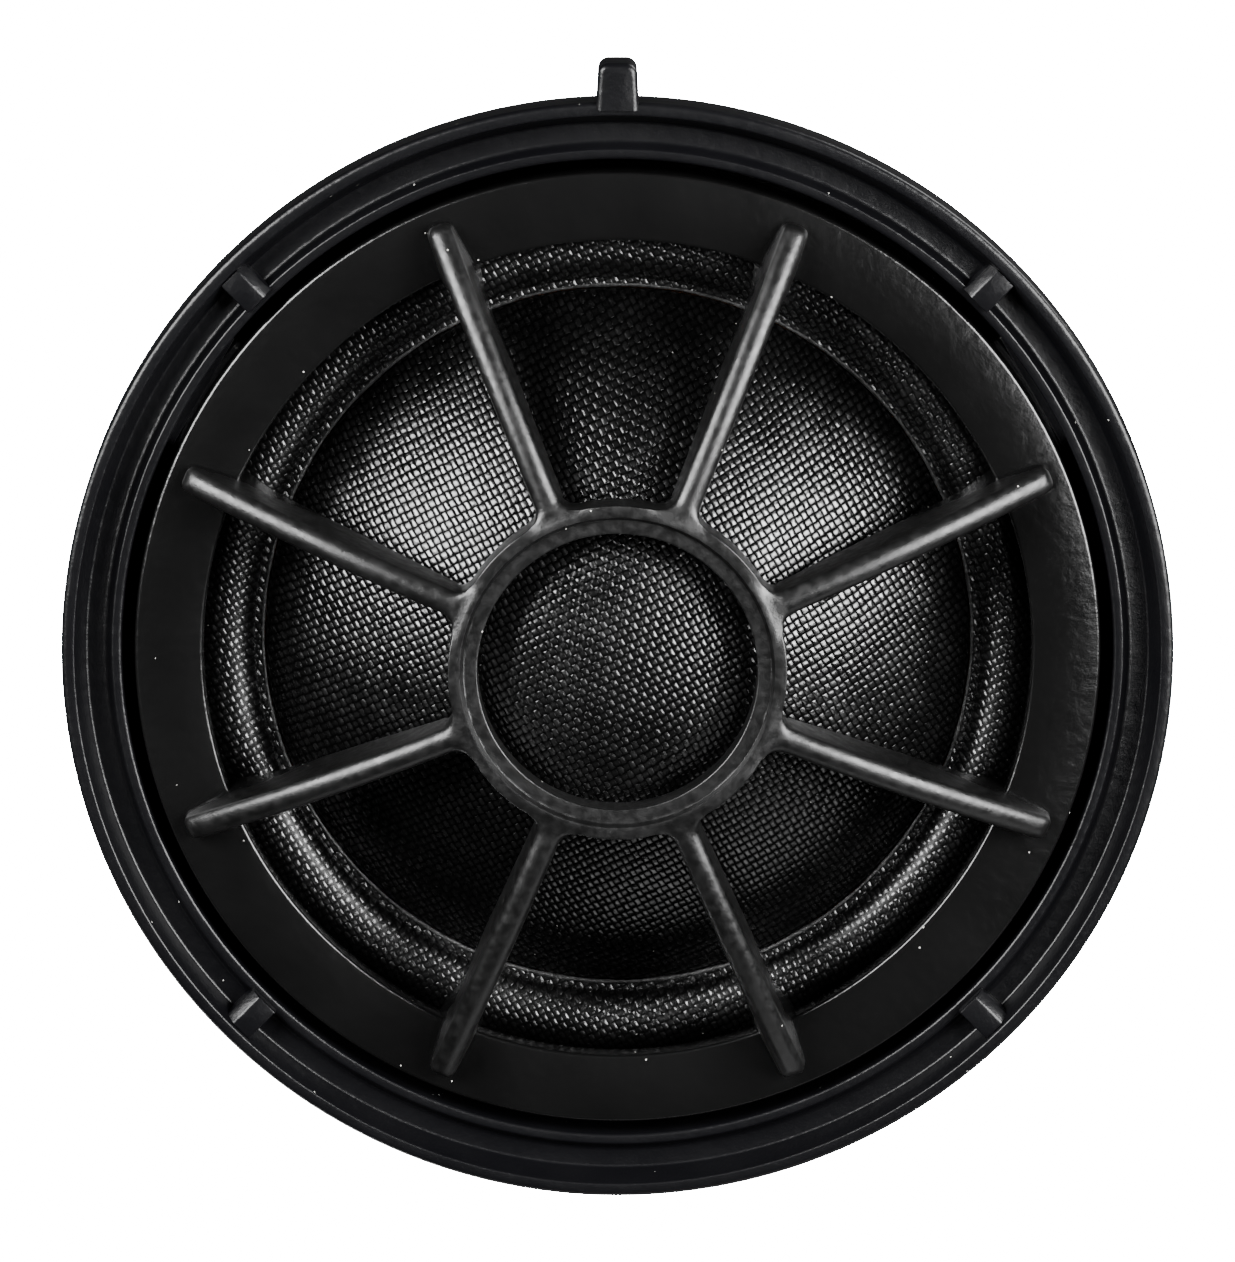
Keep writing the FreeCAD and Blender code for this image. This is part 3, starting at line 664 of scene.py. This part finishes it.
# %% [markdown]
# ## Seam bead
#
# A line of clear glue holds dome, surround and coil former together. A torus would be too even for glue that
# is laid by hand, so a grid is rolled into a ring whose thickness wanders with two slow waves.

# %% Seam bead
BEAD_R = 0.1


def bead_point(u, v):
    """A thin ring of glue whose thickness wanders a little, as from a hand-laid bead."""
    round_angle, section_angle = 2 * math.pi * u, 2 * math.pi * v
    # two waves of different pace, so that the pattern does not repeat
    wander = 0.8 + 0.12 * math.sin(17 * round_angle) + 0.08 * math.sin(43 * round_angle + 1.3)
    r = SEAM_R + BEAD_R * wander * math.cos(section_angle)
    z = SEAM_Z + BEAD_R * wander * math.sin(section_angle)
    return r * math.cos(round_angle), r * math.sin(round_angle), z


bead = net("seam_glue_bead", 320, 10, bead_point)
weld(bead, 0.001)
print("bead:", len(bead.data.polygons), "faces")

# %% [markdown]
# ## Surround
#
# The surround is a half roll of the same cloth, with a narrow valley beside the seam and a flat landing that
# is glued to the carrier. One closed roll could not follow the dome, because a blend bends a piece along a
# single line. So it is made in sectors, sixteen of them round the axis.

# %% Surround sectors
VALLEY_R, ROLL_IN, ROLL_OUT, ROLL_HEIGHT, LANDING_R = SEAM_R + 0.06, 13.15, 15.4, 1.0, 16.6
VALLEY_END, ROLL_END = 0.1, 0.8  # how far across a sector the valley and the roll reach
SECTORS, COLUMNS, ROWS = 16, 14, 30


def roll_point(u, v, k):
    """A point of one sector: v runs across the valley, up over the roll and out along the landing."""
    angle = (k + u) * 2 * math.pi / SECTORS
    if v < VALLEY_END:
        r, z = VALLEY_R + (ROLL_IN - VALLEY_R) * v / VALLEY_END, SEAM_Z + CLOTH
    elif v < ROLL_END:
        swing = math.pi * (ROLL_END - v) / (ROLL_END - VALLEY_END)
        middle, half = (ROLL_IN + ROLL_OUT) / 2, (ROLL_OUT - ROLL_IN) / 2
        r, z = middle + half * math.cos(swing), SEAM_Z + CLOTH + (ROLL_HEIGHT - CLOTH) * math.sin(swing)
    else:
        r, z = ROLL_OUT + (LANDING_R - ROLL_OUT) * (v - ROLL_END) / (1 - ROLL_END), SEAM_Z + CLOTH
    return r * math.cos(angle), r * math.sin(angle), z


roll_sectors = []
for k in range(SECTORS):
    sector = net(f"silk_roll_{k + 1:02d}", COLUMNS, ROWS, lambda u, v, k=k: roll_point(u, v, k))
    weld(sector, 0.0001)
    only(sector)
    bpy.ops.object.mode_set(mode="EDIT")
    bpy.ops.mesh.select_all(action="SELECT")
    if sum(face.normal.z for face in sector.data.polygons) < 0:
        bpy.ops.mesh.flip_normals()
    bpy.ops.object.mode_set(mode="OBJECT")
    shell = sector.modifiers.new("cloth", "SOLIDIFY")
    shell.thickness = CLOTH
    shell.offset = -1
    apply_modifiers(sector)
    roll_sectors.append(sector)
print("surround:", len(roll_sectors), "sectors of", len(roll_sectors[0].data.polygons), "faces")

# %% [markdown]
# ## Shader parts
#
# Image textures could give the finishes, but they need files and an unwrapped surface. Every finish is built
# from a few procedural parts instead: noise at a real size in millimetres, a curve that keeps only part of
# it, and a bump whose depth is also in millimetres. All of them read Object coordinates, which are metres
# from the centre of the seat, so that no pattern slides over its piece.

# %% Shader helpers
def maths(material, operation, a, b=0.0):
    """The result of one sum; a and b are numbers or outputs."""
    return add(material, "ShaderNodeMath", {"operation": operation}, {0: a, 1: b}).outputs[0]


def place_of(material):
    """The place of a point in its object, in metres."""
    return add(material, "ShaderNodeTexCoord").outputs["Object"]


def noise(material, size_mm, detail=2.0):
    """Soft random values from 0 to 1 whose spots are about this size."""
    return add(material, "ShaderNodeTexNoise", inputs={
        "Vector": place_of(material), "Scale": 1 / (size_mm * MM), "Detail": detail}).outputs["Fac"]


def span(material, value, low, high, to_low, to_high):
    """Stretch the part of a value between low and high to a new range."""
    return add(material, "ShaderNodeMapRange", inputs={
        "Value": value, "From Min": low, "From Max": high, "To Min": to_low, "To Max": to_high,
    }).outputs["Result"]


def mixed(material, factor, colour_a, colour_b):
    """Two hex colours, or a colour from a node first, mixed by a factor."""
    first = linear(colour_a) if isinstance(colour_a, str) else colour_a
    inputs = {0: factor, 6: first, 7: linear(colour_b)}
    return add(material, "ShaderNodeMix", {"data_type": "RGBA"}, inputs).outputs[2]


def dust(material, apart_mm, size_mm):
    """Specks: 1 inside a few small spots, 0 elsewhere."""
    cells = add(material, "ShaderNodeTexVoronoi", inputs={
        "Vector": place_of(material), "Scale": 1 / (apart_mm * MM)}).outputs["Distance"]
    return maths(material, "LESS_THAN", cells, size_mm / apart_mm)


def bump(material, height, depth_mm):
    """Relief: a height from 0 to 1 that stands up by this depth."""
    return add(material, "ShaderNodeBump", inputs={
        "Height": height, "Distance": depth_mm * MM, "Strength": 1.0}).outputs["Normal"]


def surface(material, **inputs):
    """A Principled surface; an input's name is written with _ for a space."""
    named = {name.replace("_", " "): value for name, value in inputs.items()}
    shader = add(material, "ShaderNodeBsdfPrincipled", inputs=named)
    add(material, "ShaderNodeOutputMaterial", inputs={"Surface": shader.outputs[0]})
    return material


print("mid grey #808080 in linear light:", round(linear("#808080")[0], 3))

# %% [markdown]
# ## Moulded plastics
#
# The ring and the guard are satin black ABS from a finely eroded mould: a grain of about a tenth of a
# millimetre, a soft waviness where the melt flowed, and a few specks of dust. A flat black would do from
# afar, but the small changes of gloss are what shows that this is moulded plastic. The faceplate is smoother
# than the spokes above it, so the guard's roughness grows, in patches, with the height above the plate. The
# rear housing is a glass-filled nylon, greyer and rougher.

# %% Plastics
PLASTIC_IOR = 1.54  # ABS and nylon alike
MATT_GAIN = 0.17  # how much rougher the spokes are than the plate below them
SPOKE_HEIGHTS = (PLATE_Z + 0.15, PLATE_Z + 0.6)  # the change from plate to spoke, in millimetres


def matt_spokes(plastic):
    """Extra roughness, from nothing at the plate to a patchy full amount on the spokes."""
    high = add(plastic, "ShaderNodeSeparateXYZ", inputs={0: place_of(plastic)}).outputs["Z"]
    matt = span(plastic, high, SPOKE_HEIGHTS[0] * MM, SPOKE_HEIGHTS[1] * MM, 0, MATT_GAIN)
    patchy = span(plastic, noise(plastic, 0.35, 3.0), 0.35, 0.65, 0.5, 1.3)
    return maths(plastic, "MULTIPLY", matt, patchy)


def moulded(name, colour, worn, roughness, grain_mm, grain_depth, shine=0.5, spokes=False):
    """A moulded plastic: two close tones in clouds, fine grain, slow waves of flow, and dust."""
    plastic = new_material(name)
    tone = mixed(plastic, span(plastic, noise(plastic, 4.0), 0.35, 0.65, 0, 1), colour, worn)
    flow = maths(plastic, "MULTIPLY", noise(plastic, 0.45, 1.0), 2.5)
    relief = maths(plastic, "ADD", noise(plastic, grain_mm, 3.0), flow)
    gloss = span(plastic, noise(plastic, 3.0), 0.3, 0.7, roughness - 0.01, roughness + 0.01)
    if spokes:
        gloss = maths(plastic, "ADD", gloss, matt_spokes(plastic))
    return surface(
        plastic,
        Base_Color=mixed(plastic, dust(plastic, 1.1, 0.035), tone, "#8d8c88"),
        Roughness=gloss,
        IOR=PLASTIC_IOR,
        Specular_IOR_Level=shine,
        Normal=bump(plastic, relief, grain_depth),
    )


# Satin ABS: deep black with a narrow, soft sheen along every rounded edge.
ring_plastic = moulded("satin_black_abs_ring", "#030304", "#050506", 0.32, 0.10, 0.008, 0.15)
guard_plastic = moulded("satin_black_abs_guard", "#030303", "#050505", 0.22, 0.10, 0.006, 0.28, spokes=True)
# The carrier is plain ABS, and glass-filled nylon shows its fibres as a coarse, dull grain.
carrier_plastic = moulded("black_abs_carrier", "#0b0b0b", "#101010", 0.5, 0.15, 0.012)
housing_plastic = moulded("glass_filled_nylon", "#0e0e0f", "#151516", 0.52, 0.22, 0.02)
print("plastics:", [m.name for m in (ring_plastic, guard_plastic, carrier_plastic, housing_plastic)])

# %% [markdown]
# ## Coated silk
#
# The cloth is a plain weave of two sets of threads, 0.29 and 0.23 mm apart, that cross almost at a right
# angle. Real threads as geometry would cost millions of faces, so the weave is a height worked out from two
# waves, and a bump lets it catch the light. The coating rounds the threads off and shines on each crown. The
# gaps between the threads are painted darker and given less specular shine, as painted shade. The threads
# keep their straight run as seen along the axis, so the pattern is made from X and Y only.

# %% Threads
# For each set: the direction across its threads in degrees, their spacing and the size of their drift in mm.
THREAD_SETS = ((118.6, 0.293, 2.5), (29.1, 0.230, 2.1))
THREAD_DRIFT = 1.6  # how far the drift shifts a thread, in radians of its wave
ACROSS_POWER, ALONG_POWER = 0.75, 0.3  # low powers make a thread's crown flat and broad
LOWER_SET = 0.72  # the height of the first set against the second one


def thread_wave(silk, across, pitch, drift_mm):
    """A wave across one set of threads: each half of it is one thread."""
    step = math.pi / (pitch * MM)
    direction = (math.cos(math.radians(across)) * step, math.sin(math.radians(across)) * step, 0)
    phase = add(silk, "ShaderNodeVectorMath", {"operation": "DOT_PRODUCT"}, {0: place_of(silk), 1: direction})
    drift = maths(silk, "MULTIPLY", noise(silk, drift_mm), THREAD_DRIFT)
    return maths(silk, "SINE", maths(silk, "ADD", phase.outputs["Value"], drift))


def crown_of(silk, across, along):
    """The height of a thread that lies on top here."""
    steep = maths(silk, "POWER", across, ACROSS_POWER)
    return maths(silk, "MULTIPLY", steep, maths(silk, "POWER", along, ALONG_POWER))


def weave(silk):
    """The height of a plain weave: the sign of the two waves' product says which set lies on top."""
    waves = [thread_wave(silk, *thread_set) for thread_set in THREAD_SETS]
    second_on_top = maths(silk, "GREATER_THAN", maths(silk, "MULTIPLY", *waves), 0.0)
    first, second = (maths(silk, "ABSOLUTE", wave) for wave in waves)
    lower = maths(silk, "MULTIPLY", crown_of(silk, first, second), LOWER_SET)
    return add(silk, "ShaderNodeMix", inputs={
        0: second_on_top, 2: lower, 3: crown_of(silk, second, first)}).outputs[0]


print("thread spacings in mm:", [pitch for _, pitch, _ in THREAD_SETS])

# %% Coated silk
YARN_MM, YARN_UNEVEN = 0.22, 0.7  # the size of a yarn's thick and thin spots, and how much they stand out
FILM_ROUGHNESS = (0.20, 0.30)


def coated_silk(name, relief_mm, coat):
    """The cloth; relief is how far the threads stand up, and coat how much the coating fills them."""
    silk = new_material(name)
    height = weave(silk)
    uneven = maths(silk, "ADD", height, maths(silk, "MULTIPLY", noise(silk, YARN_MM, 1.0), YARN_UNEVEN))
    return surface(
        silk,
        # Painted shade: the gaps between the threads get a darker tone than the crowns.
        Base_Color=mixed(silk, dust(silk, 1.3, 0.03), mixed(silk, height, "#010101", "#040404"), "#7c7b78"),
        Roughness=span(silk, noise(silk, 1.2), 0.3, 0.7, *FILM_ROUGHNESS),
        IOR=1.5,
        Coat_Weight=coat,
        Coat_Roughness=0.32,
        # Painted shade: the gaps between the threads get almost no specular shine, the crowns get full shine.
        Specular_IOR_Level=span(silk, height, 0.25, 0.95, 0.02, 0.8),
        Normal=bump(silk, uneven, relief_mm),
    )


# On the dome the coating is thin and every thread glints alone; on the roll a thicker coat joins them.
dome_silk = coated_silk("coated_woven_silk_dome", 0.031, 0.0)
roll_silk = coated_silk("coated_woven_silk_roll", 0.037, 0.22)
print("silks:", dome_silk.name, roll_silk.name)

# %% [markdown]
# ## Glue, felt and metals
#
# Only the glue line of the seam is seen from the front. The rear parts are seen from the side and from
# behind, and the motor only when the tweeter is taken apart: plated steel and nickel, tinned and plain brass,
# dull solder, amber film, blackened screws and grey felt. Each could have its own set of nodes, but two close
# tones, a little relief and an uneven gloss suit all of them, so one function makes them all.

# %% Glue and felt
def simple(name, colour_a, colour_b, spot_mm, roughness, depth_mm, **more):
    """A finish of two close tones, with noise for colour, gloss and relief."""
    finish = new_material(name)
    spots = noise(finish, spot_mm, 4.0)
    return surface(
        finish,
        Base_Color=mixed(finish, span(finish, spots, 0.3, 0.7, 0, 1), colour_a, colour_b),
        Roughness=span(finish, noise(finish, spot_mm * 2.3), 0.3, 0.7, roughness * 0.8, roughness * 1.2),
        Normal=bump(finish, spots, depth_mm),
        **more,
    )


# Cured adhesive over black cloth is dark and has a soft gleam. Wool felt is dull and fuzzy at its edges.
# Polyimide film is amber and smooth.
glue = simple("clear_seam_adhesive", "#070707", "#2a2a2a", 0.2, 0.36, 0.06, IOR=1.38)
felt = simple("grey_wool_felt", "#3c3c3e", "#56565a", 0.12, 0.95, 0.06, IOR=1.5, Sheen_Weight=0.4)
polyimide = simple("amber_polyimide_film", "#5a2e0c", "#6b3a12", 0.8, 0.22, 0.004, IOR=1.7)
print("soft finishes:", glue.name, felt.name, polyimide.name)

# %% Metals
# Zinc is a cool, slightly cloudy grey. Nickel is warmer and nearly a mirror, tin is paler and softer, plain
# brass is yellow, and solder is grained where it froze. Blackened zinc keeps a weak metallic gleam.
plated_steel = simple("zinc_plated_steel", "#a5a6a8", "#b6b6b4", 0.5, 0.3, 0.004, Metallic=1.0)
nickel = simple("nickel_plating", "#b3aea3", "#c2bdb2", 1.5, 0.18, 0.003, Metallic=1.0)
tinned_brass = simple("tinned_brass", "#b9b7b0", "#cac7be", 0.4, 0.26, 0.004, Metallic=1.0)
rivet_brass = simple("rivet_brass", "#a98a45", "#c0a055", 0.3, 0.32, 0.006, Metallic=1.0)
solder = simple("dull_solder", "#8f9092", "#b4b5b7", 0.2, 0.38, 0.02, Metallic=1.0)
black_screw = simple("black_zinc_screw", "#232325", "#303033", 0.25, 0.36, 0.006, Metallic=1.0)
metals = (plated_steel, nickel, tinned_brass, rivet_brass, solder, black_screw)
print("metals:", [metal.name for metal in metals])

# %% [markdown]
# ## Wound and braided copper
#
# The voice coil is enamelled wire wound in a close helix, and the leads are braided from hair-thin strands.
# Single turns could be modelled, but they are a tenth of a millimetre wide. Bands across the axis, at the
# pitch of the wire, give their relief and their colour, which is painted shade in the grooves between turns
# and painted highlight on the crowns.

# %% Copper
WAVE_BAND = 0.314  # the width of one band of the wave texture at scale 1


def wound(name, colour_a, colour_b, pitch_mm, roughness):
    """Wound wire or a braid: bands across Z at the wire's pitch, painted shade in grooves, painted highlight
    on crowns.
    """
    wire = new_material(name)
    bands = add(wire, "ShaderNodeTexWave", {"bands_direction": "Z"}, {
        "Vector": place_of(wire), "Scale": WAVE_BAND / (pitch_mm * MM), "Distortion": 0.3}).outputs["Fac"]
    return surface(
        wire,
        # Painted shade and highlight: the band colour is dark in the grooves between turns and light on the
        # crowns.
        Base_Color=mixed(wire, bands, colour_a, colour_b),
        Metallic=1.0,
        Roughness=roughness,
        Normal=bump(wire, bands, pitch_mm * 0.4),
    )


# Enamel makes the coil darker and redder than the bare braid.
copper_coil = wound("enamelled_copper", "#5e2c16", "#b06a3a", 0.12, 0.25)
copper_braid = wound("braided_copper", "#7a4326", "#c98555", 0.2, 0.34)
print("copper:", copper_coil.name, copper_braid.name)

# %% [markdown]
# ## Hand over the front pieces
#
# Each finished piece takes the place of its CAD node and rides on that node's body, so that it moves as the
# CAD part would. A sector of the surround rides on no body.

# %% Front pieces
settle(ring, "frame", "mounting_ring", ring_plastic)
settle(guard, "frame", "faceplate_guard", guard_plastic, 36)
settle(silk_dome, "diaphragm", "dome", dome_silk)
settle(bead, "diaphragm", "seam_bead", glue, 60)

# %% Surround sectors
for k, sector in enumerate(roll_sectors):
    settle(sector, None, "surround", roll_silk)
    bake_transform(sector)

# %% [markdown]
# ## The rear and inner pieces
#
# These could be modelled again from primitives, but their CAD solids already have the right shape, and only
# their edges are too sharp. A copy of each is merged into a closed mesh, flat faces are joined, and its sharp
# edges are rounded as a mould or a press would leave them, which is what catches light on a real part.

# %% Rounded copies of CAD pieces
MERGE_WITHIN, FLAT_WITHIN, SHARP_FROM = 0.002, 0.5, 35  # a distance in mm and two angles in degrees


def refined(node, body, material, rounding, name):
    """A closed, rounded copy of a CAD piece, which then takes its place."""
    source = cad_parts[node]
    obj = source.copy()
    obj.data = source.data.copy()
    obj.name = name
    obj.parent = None
    for collection in list(obj.users_collection):
        collection.objects.unlink(obj)
    bpy.context.collection.objects.link(obj)
    obj.scale = (1 / MM, 1 / MM, 1 / MM)
    apply_place(obj)
    weld(obj, MERGE_WITHIN)
    only(obj)
    bpy.ops.object.mode_set(mode="EDIT")
    bpy.ops.mesh.select_all(action="SELECT")
    bpy.ops.mesh.dissolve_limited(angle_limit=math.radians(FLAT_WITHIN))
    bpy.ops.object.mode_set(mode="OBJECT")
    if rounding:
        bevel = obj.modifiers.new("edges", "BEVEL")
        bevel.width = rounding
        bevel.segments = 2
        bevel.limit_method = "ANGLE"
        bevel.angle_limit = math.radians(SHARP_FROM)
        apply_modifiers(obj)
    return settle(obj, body, node, material)


refined("chassis", "frame", housing_plastic, 0.12, "rear_housing")
refined("rear_chamber", "frame", housing_plastic, 0.15, "rear_cap")
refined("chamber_screws", "frame", black_screw, 0.05, "cap_screws")
refined("terminal_positive", "frame", tinned_brass, 0.06, "blade_terminal_positive")
refined("terminal_negative", "frame", tinned_brass, 0.06, "blade_terminal_negative")
refined("terminal_rivets", "frame", rivet_brass, 0.05, "rivets")
refined("solder_joints", "frame", solder, 0.0, "solder_fillets")
refined("diaphragm_ring", "frame", carrier_plastic, 0.06, "carrier_ring")

# %% [markdown]
# ## The pieces kept as they are
#
# The motor, the felts, the coil, its former and the leads are hidden inside. Their CAD meshes are good enough
# as they stand, so they only get their finishes.

# %% Finishes of the carried-over CAD pieces
kept = {
    "pole_plate": plated_steel, "yoke_cup": plated_steel, "neodymium_magnet": nickel,
    "damping_pad": felt, "chamber_felt": felt, "voice_coil": copper_coil, "coil_former": polyimide,
    "lead_wire_positive": copper_braid, "lead_wire_negative": copper_braid,
}
for node, material in kept.items():
    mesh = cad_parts[node].data
    mesh.materials.clear()
    mesh.materials.append(material)
print("kept CAD pieces:", len(kept))
